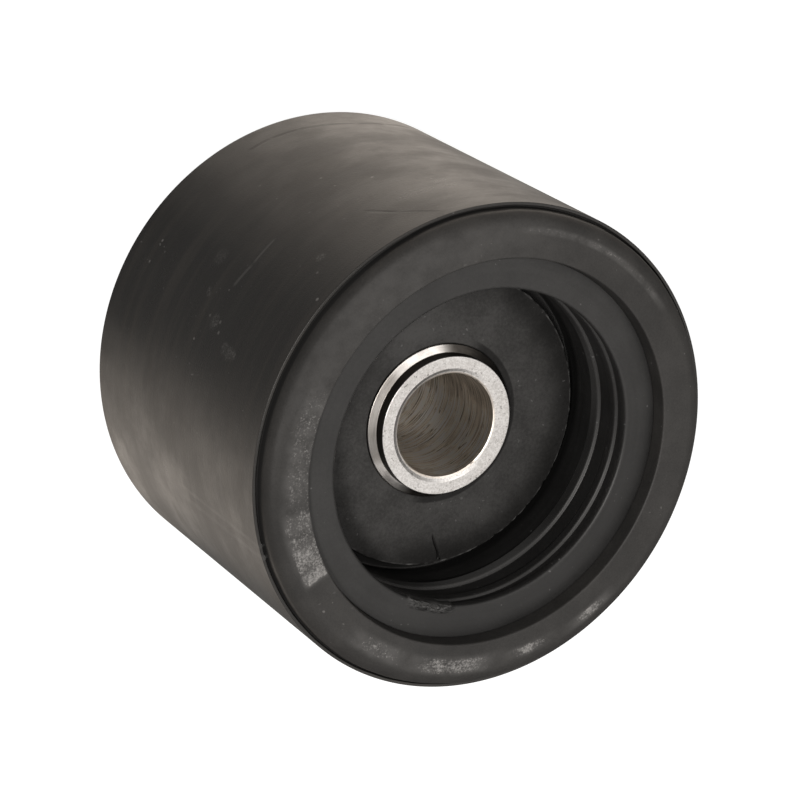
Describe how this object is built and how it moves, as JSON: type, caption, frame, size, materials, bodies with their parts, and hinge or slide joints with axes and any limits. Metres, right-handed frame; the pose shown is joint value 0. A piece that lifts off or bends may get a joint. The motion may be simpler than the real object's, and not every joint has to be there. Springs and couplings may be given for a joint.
{
  "type": "support roller",
  "caption": "Rubber-covered support roller with a recessed plastic core turning on ball bearings round a steel axle sleeve.",
  "frame": {"origin": "on the roller's axis, in the plane of the rear rim that it stands on", "axes": "+Z along the axis from the rear end to the front end, the one with the cracked cover; +X and +Y are radial"},
  "size_m": [0.092, 0.092, 0.073],
  "materials": {
    "rubber": "matt black moulded and turned rubber with pale scuffs",
    "core_plastic": "matt black moulded plastic",
    "cover_plastic": "matt black moulded plastic, speckled",
    "turned_steel": "turned bright steel with fine lathe marks",
    "bearing_steel": "ground",
    "ball_steel": "polished",
    "cage_steel": "pressed sheet",
    "seal_rubber": "moulded"
  },
  "bodies": {
    "hub": {"inner_sleeve": "turned_steel", "rear_collar": "turned_steel", "bearing_spacer": "turned_steel", "front_inner_ring": "bearing_steel", "rear_inner_ring": "bearing_steel"},
    "roller": {"tyre": "rubber", "core": "core_plastic", "front_cover": "cover_plastic", "rear_cover": "cover_plastic", "front_outer_ring": "bearing_steel", "front_outer_seal": "seal_rubber", "front_inner_seal": "seal_rubber", "rear_outer_ring": "bearing_steel", "rear_outer_seal": "seal_rubber", "rear_inner_seal": "seal_rubber"},
    "front_cage": {"front_balls": "ball_steel", "front_cage_outer_half": "cage_steel", "front_cage_inner_half": "cage_steel", "front_cage_rivets": "cage_steel"},
    "rear_cage": {"rear_balls": "ball_steel", "rear_cage_outer_half": "cage_steel", "rear_cage_inner_half": "cage_steel", "rear_cage_rivets": "cage_steel"}
  },
  "joints": [
    {"name": "roller_spin", "type": "hinge", "parent": "hub", "child": "roller", "pos_m": [0, 0, 0.0365], "axis": [0, 0, 1], "continuous": true},
    {"name": "front_cage_spin", "type": "hinge", "parent": "hub", "child": "front_cage", "pos_m": [0, 0, 0.0365], "axis": [0, 0, 1], "continuous": true},
    {"name": "rear_cage_spin", "type": "hinge", "parent": "hub", "child": "rear_cage", "pos_m": [0, 0, 0.0365], "axis": [0, 0, 1], "continuous": true}
  ],
  "couplings": [
    {"joint": "front_cage_spin", "follows": "roller_spin", "ratio": 0.61028},
    {"joint": "rear_cage_spin", "follows": "roller_spin", "ratio": 0.61028}
  ]
}
